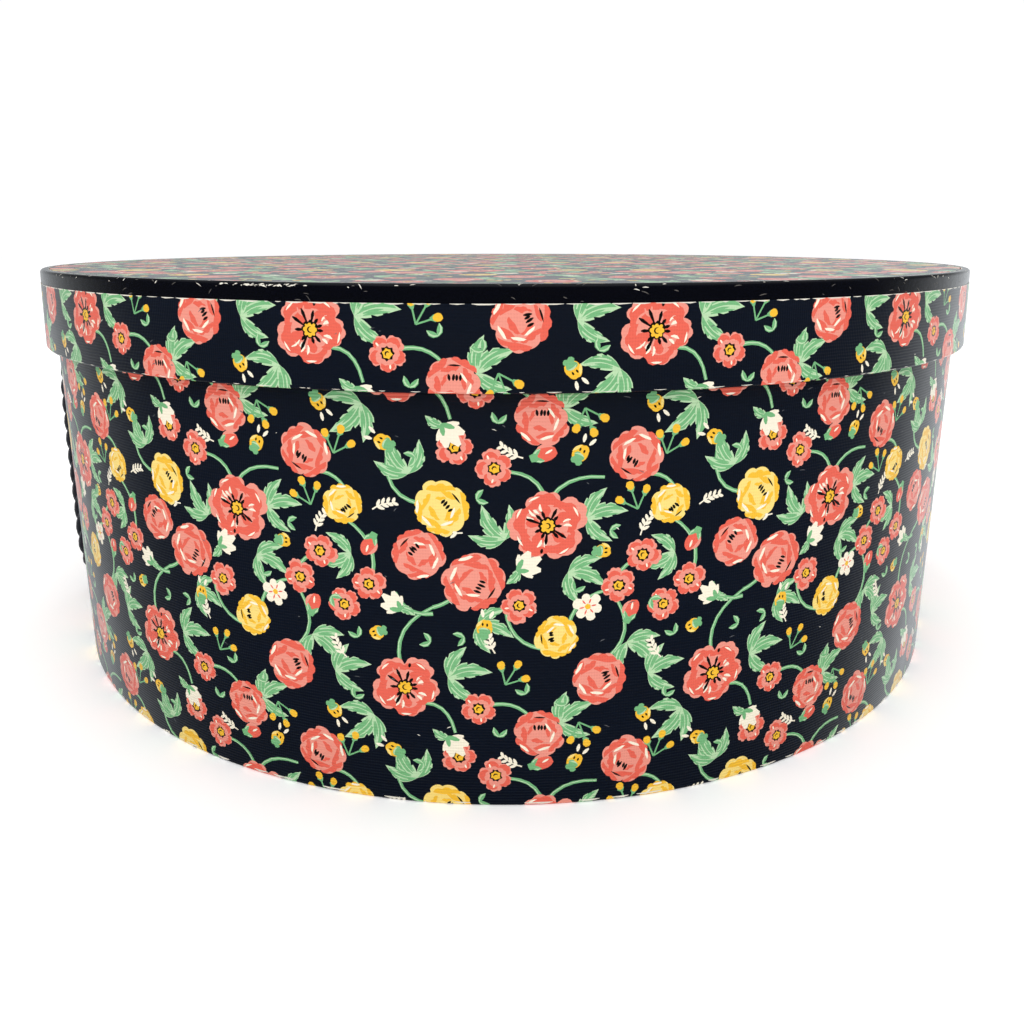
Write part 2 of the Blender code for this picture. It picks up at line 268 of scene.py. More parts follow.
    def ball_flower(self, at, size, turn, inks=("salmon", "coral", "cream")):
        """A peony or a rose: a ball of ruffled crescents, with small dark strokes at its heart."""
        base, dark, light = inks
        rng = self.rng
        self.bloom(base, at, size, 9, 0.11, turn, squash=0.9, jitter=0.06, steps=7)
        for radius, thickness, count in ((0.90, 0.20, 4), (0.66, 0.19, 4), (0.42, 0.17, 3)):
            for n in range(count):
                start = turn + radius * 157 + n * 360 / count + rng.uniform(-14, 14)
                sweep = 360 / count * rng.uniform(0.60, 0.92)
                self.shade(dark, at, size * radius * rng.uniform(0.92, 0.99), start, sweep,
                           size * thickness * rng.uniform(0.7, 1.2), wave=0.09,
                           lean=rng.uniform(0.1, 0.9), steps=9)
        for n in range(5):
            start = turn + 60 + n * 49 + rng.uniform(-8, 8)
            self.shade(light, at, size * (0.84 - 0.13 * n), start, 34 + 8 * n, size * 0.085,
                       wave=0.05, steps=5)
        side = turn - 60
        self.bloom(base, away(at, size * 0.24, side), size * 0.24, 4, 0.14, turn, steps=4)
        heart = away(at, size * 0.12, side)
        for n in range(4):
            foot = away(heart, size * (0.12 * n - 0.22), side + 90)
            self.dab("black", foot, side + rng.uniform(-14, 14), size * rng.uniform(0.16, 0.28), 0.85)
        self.shade("black", at, size * 0.68, side - 24, 42, size * 0.07, steps=4)

    def blossom(self, at, size, turn):
        """A small five-petalled flower with a ringed heart."""
        rng = self.rng
        self.bloom("salmon", at, size, 5, 0.22, turn, jitter=0.09, steps=9, frill=0.08)
        for n in range(5):
            angle = turn + 36 + n * 72
            petal = away(at, size * 0.56, angle)
            self.shade("coral", petal, size * 0.34, angle - 110 + rng.uniform(-20, 20), 210,
                       size * rng.uniform(0.2, 0.4), wave=0.12, steps=7)
            if n % 2:
                self.dab("cream", away(petal, size * 0.12, angle + 90), angle, size * 0.22, 0.6)
        self.bloom("black", at, size * 0.40, 8, 0.22, turn, steps=2)
        self.bloom("yellow", at, size * 0.29, 6, 0.22, turn, steps=2)
        self.shade("black", at, size * 0.14, turn, 230, size * 0.09, steps=4)

    def bud(self, at, size, turn, plumes=True):
        """A yellow bud in a green cup; turn is the way that it points."""
        forward = math.radians(turn)
        self.bloom("yellow", at, size, 5, 0.10, turn, squash=0.82, steps=4)
        self.shade("light_yellow", at, size * 0.9, turn + 20, 80, size * 0.34, steps=4)
        for n in (-1, 1):
            self.dab("black", polar(at, size * 0.30, forward + n * 0.9), turn + 8, size * 0.36, 0.6)
        cup = away(at, -size * 0.62, turn)
        self.bloom("green", cup, size * 0.74, 4, 0.34, turn, steps=4)
        self.shade("light_green", cup, size * 0.66, turn - 50, 110, size * 0.2, steps=4)
        if plumes:
            for n in (-1, 1):
                self.dab("cream", polar(at, size * 1.2, forward + n * 0.28), turn + n * 18, size * 0.9, 1.1)

    def tulip(self, at, size, turn):
        """A white flower seen from the side, with a green cup."""
        for n in (-1, 1, 0):
            self.dab("cream", at, turn + n * 32, size * (1.0 if n else 1.15), size * 0.52)
        for n in (-1, 1):
            self.dab("cream", at, turn + n * 62, size * 0.74, size * 0.3)
        self.leaf(at, turn + 200, size * 0.9, size * 0.5)
        foot = away(at, -0.8, turn)
        self.dab("green", foot, turn + 34, size * 0.62, 1.6)
        self.dab("green", foot, turn - 30, size * 0.55, 1.5)

    def daisy(self, at, size, turn):
        self.bloom("cream", at, size, 6, 0.34, turn, steps=5)
        for n in range(6):
            angle = turn + n * 60
            self.dab("coral", away(at, size * 0.24, angle), angle, size * 0.34, 0.5)
        self.bloom("yellow", at, size * 0.22, 5, 0.15, 0, steps=2)

    def sprig(self, at, turn, size):
        path = bow(at, away(at, size, turn), 0.08, 4)
        self.brush("cream", path, 0.45, 0.35)
        for n, foot in enumerate(path[1:]):
            for side in (-1, 1):
                self.dab("cream", foot, turn + side * 42 + 6, size * (0.36 - 0.03 * n), 1.0)

    def leaflets(self, at, angle, size=3.4):
        """A pair of small plain leaves."""
        for side in (-1, 1):
            tip = away(at, size, angle + side * 36)
            self.brush("green", bow(at, tip, 0.1 * side, 3), 0.6, 0.2, size * 0.5)
            self.brush("light_green", bow(at, tip, 0.2 * side, 3), 0.2, 0.15, 0.5)

    def berries(self, at, angle):
        """Three small buds on short stalks."""
        for n in (-1, 0, 1):
            turn = angle + n * 42
            tip = away(at, 5.2 if n else 6.4, turn)
            self.brush("green", [at, tip], 0.5, 0.5)
            self.bloom("green", tip, 1.15, 3, 0.3, turn, steps=3)
            self.bloom("yellow", away(tip, 1.1, turn), 1.45, 3, 0.08, turn, squash=0.85, steps=3)

    def rosebud(self, at, angle):
        """A closed coral bud with its green cup."""
        size = 5.6
        heart = away(at, size * 0.6, angle)
        self.bloom("coral", heart, size * 0.62, 3, 0.08, angle, squash=0.62, steps=5)
        self.shade("salmon", heart, size * 0.52, angle + 20, 120, size * 0.2, steps=5)
        self.dab("cream", heart, angle + 12, size * 0.4, 0.7)
        self.leaflets(at, angle, size * 0.55)
        self.bloom("green", at, size * 0.26, 4, 0.2, angle, steps=2)


# Where the motifs sit on the repeat, in millimetres: place, then size, turn in degrees or bend.
STEMS = (((22, 22), (31, 45), 0.22), ((31, 45), (40, 52), -0.1), ((31, 43), (20, 49), 0.2),
         ((66, 32), (52, 45), 0.22), ((79, 26), (84.5, 47), -0.25), ((62, 72), (80, 84), 0.22),
         ((64, 74), (50, 86), -0.25), ((84, 52), (95, 58), 0.25), ((33, 76), (19, 92), 0.3),
         ((46, 14), (61, 8), 0.2), ((12, 50), (5, 71), -0.22), ((22, 13), (37, 5), 0.3),
         ((70, 36), (82, 50), 0.2), ((90, 84), (102, 78), 0.2))
SPRAYS = (((35, 23), 8, 13), ((12, 9), 222, 13), ((75, 72), 8, 12), ((52, 66), 128, 12),
          ((68, 8), 28, 12), ((88, 33), -48, 12), ((25, 85), 118, 12), ((7, 60), 196, 11),
          ((70, 56), -20, 12), ((44, 40), -20, 11), ((95, 22), 15, 12))
SPRIGS = (((49, 31), 105, 6.5), ((91, 66), 60, 6.5), ((4, 27), 120, 6.5), ((57, 90), 150, 6.5),
          ((40, 68), 170, 6.5), ((14, 74), 20, 6.5))
POPPIES = (((22, 19), 10.8, 20), ((64, 70), 11.2, 200))
PEONIES = (((43, 53), 9.4, 30), ((27, 61), 8.2, 200), ((80, 22), 8.8, 80), ((62, 5), 8.0, 150),
           ((89, 90), 8.4, 300))
ROSES = (((34, 75), 8.4, 100, ROSE), ((67, 36), 7.0, 250, ROSE), ((5, 75), 6.4, 10, ROSE))
BLOSSOMS = (((49, 87), 5.4, 0), ((38, 93), 5.4, 40), ((85, 51), 5.4, 80), ((92, 60), 5.4, 30),
            ((4, 44), 5.4, 10), ((12, 51), 5.4, 60), ((44, 13), 5.4, 20), ((56, 46), 5.4, 75))
BUDS = (((46, 39), 2.8, 80, True), ((73, 91), 2.8, 60, True), ((94, 9), 2.8, -60, True),
        ((14, 36), 2.6, 200, False), ((18, 94), 2.8, 150, True), ((80, 62), 2.6, 0, False))
TULIPS = (((56, 57), 6.2, 30), ((35, 3), 6.2, -50), ((21, 44), 5.6, 140))
BERRIES = (((3, 90), 70), ((52, 21), 60), ((74, 8), -70), ((90, 74), 110))
ROSEBUDS = (((14, 66), 240), ((60, 90), 20), ((88, 40), 70))
LEAFLETS = (((30, 34), 160), ((50, 4), 80), ((72, 50), 60), ((8, 34), 120), ((27, 90), 200),
            ((44, 78), 20), ((70, 14), 130), ((95, 46), -40), ((40, 36), 200), ((6, 14), 60),
            ((82, 68), -10), ((58, 18), 120))


def artwork():
    """The whole repeat: an own scattering of flowers, drawn from the stems forward."""
    made = Artwork(11)
    for draw, rows in (
            (made.stem, STEMS), (made.leaves, SPRAYS), (made.sprig, SPRIGS), (made.poppy, POPPIES),
            (made.ball_flower, PEONIES), (made.ball_flower, ROSES), (made.blossom, BLOSSOMS),
            (made.bud, BUDS), (made.tulip, TULIPS), (made.daisy, (((76, 45), 4.4, 10),)),
            (made.berries, BERRIES), (made.rosebud, ROSEBUDS), (made.leaflets, LEAFLETS)):
        for row in rows:
            draw(*row)
    return made


def tile_corners(low, high):
    """The lower corners of the repeats that cover a rectangle."""
    first, last = (np.floor(corner / np.array(TILE)).astype(int) for corner in (low, high))
    return [np.array(TILE) * (across, up)
            for across in range(first[0], last[0] + 1) for up in range(first[1], last[1] + 1)]


def repeated_shapes(shapes):
    """The shapes with their copies that reach into the repeat from its neighbours."""
    out = []
    for ink, outline in shapes:
        points = np.array(outline)
        for corner in tile_corners(points.min(0), points.max(0)):
            out.append((INK_NAMES.index(ink), points - corner))
    return out


def lies_inside(points, outline):
    """Which points a closed outline winds round."""
    ahead = np.roll(outline, -1, axis=0)
    x, y = points[:, :1], points[:, 1:]
    rising = (outline[:, 1] <= y) & (ahead[:, 1] > y)
    falling = (outline[:, 1] > y) & (ahead[:, 1] <= y)
    side = ((ahead[:, 0] - outline[:, 0]) * (y - outline[:, 1])
            - (x - outline[:, 0]) * (ahead[:, 1] - outline[:, 1]))
    return ((rising & (side > 0)).sum(1) - (falling & (side < 0)).sum(1)) != 0


def ink_at(points, shapes, inks):
    """Give each point the number of the last shape's ink that covers it."""
    order = np.argsort(points[:, 0], kind="stable")
    ordered = points[order, 0]
    for ink, outline in shapes:
        low, high = outline.min(0), outline.max(0)
        first, last = np.searchsorted(ordered, (low[0], high[0]))
        near = order[first:last]
        near = near[(points[near, 1] >= low[1]) & (points[near, 1] <= high[1])]
        if len(near):
            inks[near[lies_inside(points[near], outline)]] = ink


def closed_edges(first, count):
    return [(first + n, first + (n + 1) % count) for n in range(count)]


def triangulate(points, edges):
    """Constrained Delaunay triangles of the points, as arrays of places and of corner indices."""
    places, _, faces, *_ = delaunay_2d_cdt([Vector(p) for p in points], edges, [], 0, 1e-4, False)
    return np.array([tuple(p) for p in places]), np.array([tuple(face) for face in faces])


def visible_edges(shapes):
    """Points and edges between unlike inks on one repeat, without what lies under other shapes."""
    points, edges = [], []
    for _, outline in shapes:
        edges += closed_edges(len(points), len(outline))
        points += [tuple(p) for p in outline]
    edges += closed_edges(len(points), 4)
    points += [(0.0, 0.0), (TILE[0], 0.0), TILE, (0.0, TILE[1])]
    places, faces = triangulate(points, edges)
    middles = places[faces].mean(1)
    within = ((middles > 0) & (middles < TILE)).all(1)
    faces, middles = faces[within], middles[within]
    inks = np.zeros(len(faces), int)
    ink_at(middles, shapes, inks)
    sides = np.sort(np.concatenate([faces[:, [0, 1]], faces[:, [1, 2]], faces[:, [2, 0]]]), axis=1)
    owners = np.tile(np.arange(len(faces)), 3)
    order = np.lexsort((sides[:, 1], sides[:, 0]))
    sides, owners = sides[order], owners[order]
    pairs = np.nonzero((sides[1:] == sides[:-1]).all(1))[0]
    kept = sides[pairs[inks[owners[pairs]] != inks[owners[pairs + 1]]]]
    used, edges = np.unique(kept, return_inverse=True)
    return places[used], edges.reshape(-1, 2)


class FlatSheet:
    """A sheet of paper lying flat, in millimetres: places, triangles and each triangle's ink."""

    def __init__(self, outline, levels=(), pattern=None, phase=(0.0, 0.0), extra=(), grid=(6.5, 14.0)):
        outline = np.array(outline, float)
        low, high = outline.min(0), outline.max(0)
        points = [tuple(p) for p in outline]
        edges = closed_edges(0, len(outline))
        for level in levels:
            edges.append((len(points), len(points) + 1))
            points += [(low[0], level), (high[0], level)]
        for _, shape in extra:
            edges += closed_edges(len(points), len(shape))
            points += [tuple(p) for p in shape]
        if pattern:
            shapes, places, links = pattern
            for corner in tile_corners(low - phase, high - phase):
                moved = places + np.array(phase) + corner
                inside = ((moved >= low) & (moved <= high)).all(1)
                edges += (links[inside[links].any(1)] + len(points)).tolist()
                points += [tuple(p) for p in moved]
        columns = max(2, round((high[0] - low[0]) / grid[0]))
        rows = max(1, round((high[1] - low[1]) / grid[1]))
        heights = [low[1] + (high[1] - low[1]) * row / rows for row in range(rows + 1)]
        for column in range(columns + 1):
            across = low[0] + (high[0] - low[0]) * column / columns
            points += [(across, height) for height in (*heights, *levels)]
        self.places, self.faces = triangulate(points, edges)
        middles = self.places[self.faces].mean(1)
        within = lies_inside(middles, outline)
        self.faces, middles = self.faces[within], middles[within]
        self.inks = np.zeros(len(self.faces), int)
        if pattern:
            ink_at((middles - phase) % TILE, shapes, self.inks)
        ink_at(middles, extra, self.inks)

    def made(self, name, wrap, body, finish):
        """The sheet as a mesh object: wrap gives the world places and normals of its flat places."""
        used, corners = np.unique(self.faces, return_inverse=True)
        corners = corners.reshape(-1, 3)
        flat = self.places[used]
        places, normals = wrap(flat)
        a, b, c = (places[corners[:, n]] for n in range(3))
        backwards = (np.cross(b - a, c - a) * normals[corners[:, 0]]).sum(1) < 0
        corners[backwards] = corners[backwards][:, ::-1]
        mesh = bpy.data.meshes.new(name)
        mesh.vertices.add(len(places))
        mesh.vertices.foreach_set("co", places.ravel())
        mesh.loops.add(corners.size)
        mesh.loops.foreach_set("vertex_index", corners.ravel())
        mesh.polygons.add(len(corners))
        mesh.polygons.foreach_set("loop_start", np.arange(0, corners.size, 3))
        mesh.update(calc_edges=True)
        layer = mesh.uv_layers.new(name="flat")
        layer.uv.foreach_set("vector", (flat[corners.ravel()] * MM).ravel())
        present = [n for n in range(len(INK_NAMES)) if (self.inks == n).any()]
        for n in present:
            mesh.materials.append(finish(INK_NAMES[n]))
        slots = np.searchsorted(present, self.inks)
        mesh.polygons.foreach_set("material_index", slots)
        mesh.shade_smooth()
        mesh.normals_split_custom_set_from_vertices(normals)
        mesh.validate()
        piece = bpy.data.objects.new(name, mesh)
        bpy.context.scene.collection.objects.link(piece)
        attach(piece, body)
        return piece


def wall_radius(height):
    """Outside radius of the body at a height in metres."""
    return BODY_FOOT_RADIUS + WALL_LEAN * height


def arc(centre, radius, start, end, steps):
    """Points round a fold in the profile plane, angles in degrees from outwards towards up."""
    return [away(centre, radius, start + (end - start) * n / steps) for n in range(steps + 1)]


class Wrap:
    """Lays a flat sheet round the box: across goes round, up goes along the profile.

    The profile is listed from the sheet's lower edge, in metres as (radius, height), with the
    paper's face on its right hand side.
    """

    def __init__(self, profile, around, start, lap=0.0):
        self.profile = np.array(profile)
        steps = np.diff(self.profile, axis=0)
        lengths = np.linalg.norm(steps, axis=1)
        self.levels = np.concatenate([[0.0], np.cumsum(lengths)]) / MM
        facing = np.stack([steps[:, 1], -steps[:, 0]], axis=1) / lengths[:, None]
        weights = 1 / lengths
        blended = (facing[:-1] * weights[:-1, None] + facing[1:] * weights[1:, None])
        self.facing = np.concatenate([facing[:1], blended, facing[-1:]])
        self.facing /= np.linalg.norm(self.facing, axis=1)[:, None]
        self.around, self.start, self.lap = around, math.radians(start), lap
        self.length = math.tau * around / MM + lap

    def across(self, azimuth):
        """How far along the sheet an azimuth lies, in degrees from the front towards the right."""
        return (math.radians(azimuth) - self.start) % math.tau * self.around / MM

    def __call__(self, flat):
        across, up = flat[:, 0], np.clip(flat[:, 1], 0, self.levels[-1])
        radius = np.interp(up, self.levels, self.profile[:, 0])
        height = np.interp(up, self.levels, self.profile[:, 1])
        out = np.interp(up, self.levels, self.facing[:, 0])
        rise = np.interp(up, self.levels, self.facing[:, 1])
        if self.lap:
            raised = np.clip((across - (self.length - self.lap)) / 1.5, 0, 1) * 0.3 * MM
            radius, height = radius + raised * out, np.maximum(height + raised * rise, 0.0)
        angle = self.start + across * MM / self.around
        size = np.hypot(out, rise)
        places = np.stack([radius * np.sin(angle), -radius * np.cos(angle), height], axis=1)
        normals = np.stack([out * np.sin(angle), -out * np.cos(angle), rise], axis=1) / size[:, None]
        return places, normals


# Materials.

class Nodes:
    """Builds the nodes of one tree; an input takes a number, a colour or another node's output."""

    def __init__(self, tree):
        self.tree = tree

    def feed(self, made, inputs):
        for name, value in inputs.items():
            if isinstance(value, bpy.types.NodeSocket):
                self.tree.links.new(made.inputs[name], value)
            else:
                made.inputs[name].default_value = value

    def add(self, kind, inputs=None, **values):
        made = self.tree.nodes.new(kind)
        for name, value in values.items():
            setattr(made, name, value)
        self.feed(made, inputs or {})
        return made

    def math(self, operation, first, second):
        return self.add("ShaderNodeMath", {0: first, 1: second}, operation=operation).outputs[0]

    def noise(self, vector, scale, detail, roughness):
        inputs = {"Vector": vector, "Scale": scale, "Detail": detail, "Roughness": roughness}
        return self.add("ShaderNodeTexNoise", inputs).outputs["Fac"]

    def stretched(self, vector, scale, detail, roughness):
        """Noise whose scale differs along the sheet and across it."""
        moved = self.add("ShaderNodeMapping", {"Vector": vector, "Scale": (*scale, 1.0)})
        return self.noise(moved.outputs["Vector"], 1.0, detail, roughness)

    def ribs(self, vector, direction, pitch, wander):
        """Fine parallel ribs of a given pitch in metres."""
        inputs = {"Vector": vector, "Scale": math.tau / 20 / pitch, "Distortion": wander,
                  "Detail": 1.5, "Detail Scale": 0.35}
        return self.add("ShaderNodeTexWave", inputs, bands_direction=direction).outputs["Fac"]

    def mapped(self, value, low, high, start=0.0, end=1.0, kind="LINEAR"):
        """A value's range from start to end, spread over low to high."""
        inputs = {"Value": value, "From Min": start, "From Max": end, "To Min": low, "To Max": high}
        return self.add("ShaderNodeMapRange", inputs, interpolation_type=kind).outputs[0]

    def place(self, kind="Object"):
        return self.add("ShaderNodeTexCoord").outputs[kind]

    def flat(self):
        """The place on the flat sheet, in metres."""
        return self.add("ShaderNodeUVMap", uv_map="flat").outputs["UV"]


class Finish(Nodes):
    """A new material round one Principled shader."""

    def __init__(self, name, colour, specular):
        self.material = bpy.data.materials.new(name)
        self.material.use_nodes = True
        self.material.diffuse_color = (*colour, 1.0)
        super().__init__(self.material.node_tree)
        self.shader = self.tree.nodes["Principled BSDF"]
        self.look({"Base Color": (*colour, 1.0), "Specular IOR Level": specular})

    def look(self, inputs):
        self.feed(self.shader, inputs)

    def coloured(self, value, start, dark, end, light):
        """A base colour that goes from dark to light as the value passes two places."""
        ramp = self.add("ShaderNodeValToRGB", {"Fac": value})
        for element, position, colour in zip(ramp.color_ramp.elements, (start, end), (dark, light)):
            element.position = position
            element.color = (*colour, 1.0)
        self.look({"Base Color": ramp.outputs["Color"]})

    def bump(self, height, strength, distance):
        made = self.add("ShaderNodeBump", {"Height": height, "Strength": strength, "Distance": distance})
        self.look({"Normal": made.outputs["Normal"]})


@functools.cache
def linen_group():
    """Height and rubbing of paper embossed with a linen grain, laid out on the flat sheet."""
    tree = bpy.data.node_groups.new("linen", "ShaderNodeTree")
    for name in ("Height", "Rub"):
        tree.interface.new_socket(name, in_out="OUTPUT", socket_type="NodeSocketFloat")
    made = Nodes(tree)
    flat = made.flat()
    across = made.ribs(flat, "Y", 0.00096, 1.8)
    down = made.ribs(flat, "X", 0.00078, 2.6)
    threads = made.stretched(flat, (90.0, 1100.0), 3.0, 0.6)
    patches = made.noise(flat, 55.0, 3.0, 0.6)
    pulled = made.math("MULTIPLY", across, made.math("ADD", threads, 0.35))
    grain = made.math("ADD", pulled, made.math("MULTIPLY", down, 0.22))
    height = made.math("ADD", grain, made.math("MULTIPLY", patches, 0.5))
    smears = made.stretched(flat, (18.0, 70.0), 5.0, 0.7)
    made.add("NodeGroupOutput", {"Height": height, "Rub": smears})
    return tree


@functools.cache
def print_ink(name):
    """An ink on the embossed paper: flat colour, with the grain in its gloss and relief."""
    made = Finish("print_" + name, INKS[name], 0.3)
    linen = made.add("ShaderNodeGroup", node_tree=linen_group()).outputs
    gloss = made.mapped(linen["Rub"], *PRINT_ROUGHNESS.get(name, (0.34, 0.54)))
    made.look({"Roughness": gloss, "Coat Weight": 0.7, "Coat Roughness": 0.14})
    made.bump(linen["Height"], 0.55, 0.0002)
    return made.material


def tape_finish(name):
    """The glossy binding tape, and the board that shows where it has worn; that light colour also paints a
    highlight line along the tape's inner top edge.
    """
    made = Finish("tape_" + name, TAPE_COLOURS[name], 0.5)
    flat = made.flat()
    rub = made.stretched(flat, (60.0, 240.0), 5.0, 0.65)
    low, high = (0.06, 0.24) if name == "ground" else (0.6, 0.8)
    made.look({"Roughness": made.mapped(rub, low, high)})
    made.bump(made.stretched(flat, (260.0, 500.0), 4.0, 0.6), 0.25, 0.0003)
    return made.material


def plain_paper(name, colour, shade, fibre=0.5):
    """Uncoated paper or board: mottled colour, fibres and a dull uneven gloss."""
    made = Finish(name, colour, 0.25)
    place = made.place()
    broad = made.noise(place, 9.0, 4.0, 0.6)
    fine = made.noise(place, 420.0, 3.0, 0.7)
    finest = made.noise(place, 1400.0, 2.0, 0.6)
    mixed = made.math("ADD", made.math("MULTIPLY", broad, 0.7), made.math("MULTIPLY", fine, 0.45))
    made.coloured(mixed, 0.38, shade, 0.72, colour)
    made.look({"Roughness": made.mapped(fine, 0.6, 0.85)})
    made.bump(made.math("ADD", fine, finest), fibre, 0.0002)
    return made.material


def cord_material():
    """Black-navy twisted rayon: fibres along each strand and a soft sheen."""
    made = Finish("cord_twist", (0.010, 0.013, 0.024), 0.4)
    fibres = made.stretched(made.flat(), (260.0, 9000.0), 3.0, 0.6)
    made.coloured(fibres, 0.30, (0.003, 0.004, 0.008), 0.75, (0.022, 0.028, 0.050))
    made.look({"Roughness": made.mapped(fibres, 0.38, 0.62), "Sheen Weight": 0.25, "Sheen Roughness": 0.5})
    made.bump(fibres, 0.6, 0.0003)
    return made.material


def eyelet_material():
    """Japanned metal, with the paint rubbed thin in places."""
    made = Finish("eyelet_japanned", JAPAN_BLACK, 0.5)
    rub = made.noise(made.place(), 700.0, 4.0, 0.6)
    made.coloured(rub, 0.62, JAPAN_BLACK, 0.80, (0.22, 0.17, 0.10))
    made.look({"Roughness": made.mapped(rub, 0.2, 0.45), "Metallic": 0.6})
    made.bump(rub, 0.15, 0.0002)
    return made.material


def finish_nodes(material, *names):
    """Give carried-over CAD nodes their procedural material."""
    for name in names:
        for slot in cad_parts[name].material_slots:
            slot.material = material


# The printed papers and the tape.

class WearAndHighlight:
    """Worn marks on a sheet of some length, in ink shapes, drawn from a seed of their own. On the tape, one
    light line among them is partly a painted highlight.
    """

    def __init__(self, seed, length):
        self.rng = random.Random(seed)
        self.length = length
        self.marks = []

    def mark(self, ink, outline):
        self.marks.append((INK_NAMES.index(ink), np.array(outline)))

    def fleck(self, ink, at, angle, reach, width):
        """A short worn mark, fat in the middle; the angle is in radians."""
        path = bow(at, polar(at, reach, angle), 0.06, 3)
        self.mark(ink, stroke(path, 0.06, 0.05, width))

    def flecks(self, ink, low, high, count, size):
        """Small slanting flecks scattered over a band of the sheet."""
        rng = self.rng
        for _ in range(count):
            at = (rng.uniform(2, self.length - 2), rng.uniform(low, high))
            self.fleck(ink, at, rng.gauss(0.0, 0.5), size * rng.uniform(0.4, 1.6), rng.uniform(0.16, 0.3))

    def frayed_and_highlight(self, ink, level, depth, share, longest):
        """A torn light line along an edge: runs of uneven depth with gaps between them. Along the tape's
        inner top edge the line is partly fraying and partly a painted highlight.
        """
        rng, at = self.rng, 0.8
        while at < self.length - 4:
            end = min(at + rng.uniform(1.0, longest), self.length - 1)
            steps = max(2, int((end - at) / 1.6))
            lower = []
            for n in range(steps + 1):
                edge = 0.25 if n in (0, steps) else rng.uniform(0.55, 1.0)
                lower.append((at + (end - at) * n / steps, level - depth * edge))
            self.mark(ink, [(at, level), *lower, (end, level)])
            at = end + rng.uniform(0.15, longest) * (1 - share) / share


def rectangle(length, height):
    return [(0.0, 0.0), (length, 0.0), (length, height), (0.0, height)]


def make_body_paper(pattern):
    """The body's cover: under the base, up the wall and down inside the rim, lapped at the back."""
    fold, inner = OUTER_FOLD, INNER_FOLD
    foot_z = 0.1 * MM
    rim_inner = wall_radius(BODY_RIM) - WALL_THICKNESS
    profile = [(BASE_PAPER_RADIUS + 0.3 * MM, foot_z)]
    profile += arc((BODY_FOOT_RADIUS - fold, foot_z + fold), fold, -90, 0, 4)
    profile += arc((wall_radius(BODY_RIM) - fold, BODY_RIM - fold), fold, 0, 90, 4)
    profile += arc((rim_inner + inner, BODY_RIM - inner), inner, 90, 180, 3)
    profile.append((rim_inner - TURNED_IN * WALL_LEAN, BODY_RIM - TURNED_IN))
    wrap = Wrap(profile, wall_radius(BODY_RIM / 2), 176.0, lap=13.0)
    foot, rim, top = wrap.levels[3], wrap.levels[7], wrap.levels[-1]
    cut = wrap.length - 0.02
    wear_and_highlight = WearAndHighlight(5, wrap.length)
    wear_and_highlight.flecks("scuff", foot + 4, rim - 24, 260, 1.5)
    wear_and_highlight.flecks("worn", foot + 4, rim - 24, 110, 1.0)
    wear_and_highlight.frayed_and_highlight("worn", foot + 0.9, 0.75, 0.35, 9.0)
    wear_and_highlight.mark("worn", [(cut - 0.18, 0.5), (cut, 0.5), (cut, top - 0.5), (cut - 0.13, top - 0.5)])
    sheet = FlatSheet(rectangle(wrap.length, top), wrap.levels[1:-1], pattern,
                      phase=(14.0, 31.0), extra=wear_and_highlight.marks)
    piece = sheet.made("body_print", wrap, "box", print_ink)
    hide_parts("body_cover_paper")


def make_band_paper(pattern):
    """The lid band's cover: folded up inside at the foot, its raw top edge over the tape."""
    fold, inner = OUTER_FOLD, INNER_FOLD
    profile = [(LID_BORE, LID_FOOT + TURNED_IN)]
    profile += arc((LID_BORE + inner, LID_FOOT + inner), inner, 180, 270, 3)
    profile += arc((LID_RADIUS - fold, LID_FOOT + fold), fold, -90, 0, 4)
    profile.append((LID_RADIUS, TAPE_FOOT + 0.35 * MM))
    wrap = Wrap(profile, LID_RADIUS, 168.0)
    foot, top = wrap.levels[8], wrap.levels[-1]
    wear_and_highlight = WearAndHighlight(8, wrap.length)
    wear_and_highlight.flecks("scuff", foot + 1, top - 1, 46, 1.4)
    wear_and_highlight.flecks("worn", foot + 1, top - 1, 24, 0.9)
    wear_and_highlight.frayed_and_highlight("worn", top - 0.02, 0.42, 0.72, 7.0)
    wear_and_highlight.frayed_and_highlight("worn", foot + 0.2, 0.3, 0.4, 6.0)
    sheet = FlatSheet(rectangle(wrap.length, top), wrap.levels[1:-1], pattern,
                      phase=(36.0, 10.0), extra=wear_and_highlight.marks, grid=(6.5, 9.0))
    piece = sheet.made("lid_band_print", wrap, "lid", print_ink)
    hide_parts("lid_band_paper")


def make_top_paper(pattern):
    """The lid's round top paper."""
    radius = TOP_PAPER_RADIUS / MM
    outline = [polar((0.0, 0.0), radius, math.tau * n / 240) for n in range(240)]
    wear_and_highlight = WearAndHighlight(3, radius)
    rng = wear_and_highlight.rng
    for _ in range(150):
        at = polar((0.0, 0.0), radius * math.sqrt(rng.uniform(0, 0.97)), rng.uniform(0, math.tau))
        ink = rng.choice(("scuff", "scuff", "worn"))
        wear_and_highlight.fleck(ink, at, rng.uniform(0, math.tau), rng.uniform(1, 5), rng.uniform(0.15, 0.3))

    def lay(flat):
        places = np.column_stack([flat * MM, np.full(len(flat), LID_TOP - 0.02 * MM)])
        normals = np.tile((0.0, 0.0, 1.0), (len(flat), 1))
        return places, normals

    sheet = FlatSheet(outline, (), pattern, phase=(20.0, 10.0), extra=wear_and_highlight.marks, grid=(40.0, 40.0))
    piece = sheet.made("lid_top_print", lay, "lid", print_ink)
    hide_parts("lid_top_paper")


